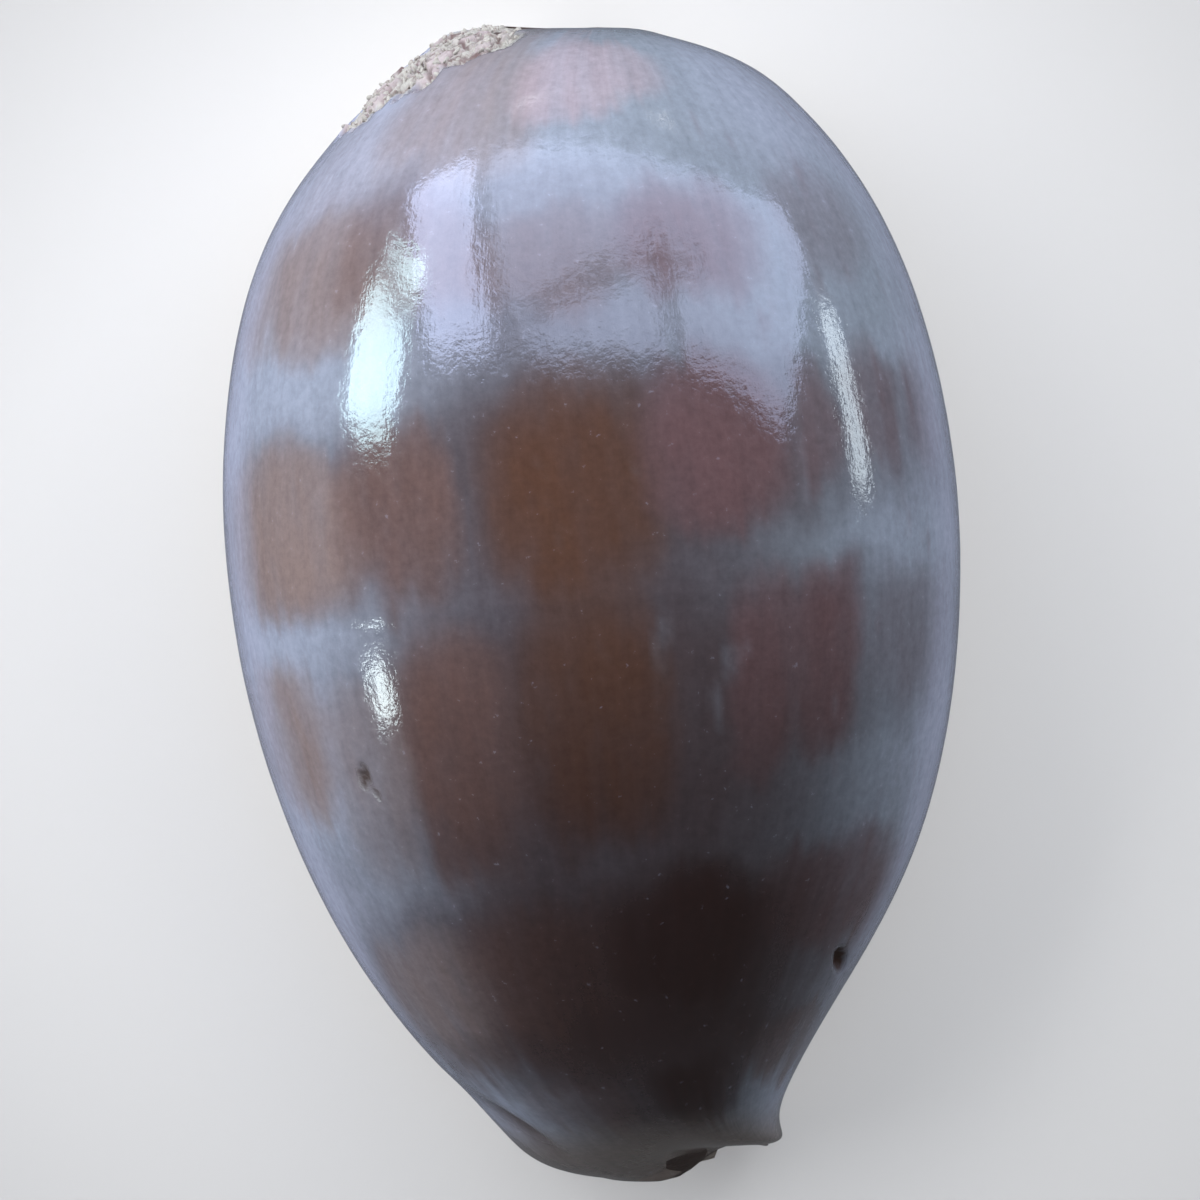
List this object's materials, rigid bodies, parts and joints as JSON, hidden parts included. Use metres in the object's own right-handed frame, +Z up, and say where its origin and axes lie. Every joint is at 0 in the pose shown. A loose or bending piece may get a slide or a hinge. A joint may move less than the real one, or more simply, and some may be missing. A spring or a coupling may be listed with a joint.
{
  "type": "cowrie shell",
  "caption": "Cowrie shell: a glossy, egg-shaped, banded sea shell, hollow inside, with a narrow toothed slit along its flattened base and a short open canal at each end.",
  "frame": {"origin": "on the surface that the shell rests on, below the centre of its bounding box", "axes": "+Z up, +Y towards the broad spire end, -X towards the outer (labral) lip and +X towards the columellar lip"},
  "size_m": [0.0436, 0.07, 0.034],
  "materials": {
    "shell": "gloss"
  },
  "bodies": {
    "root": {"shell": "shell"}
  },
  "joints": []
}
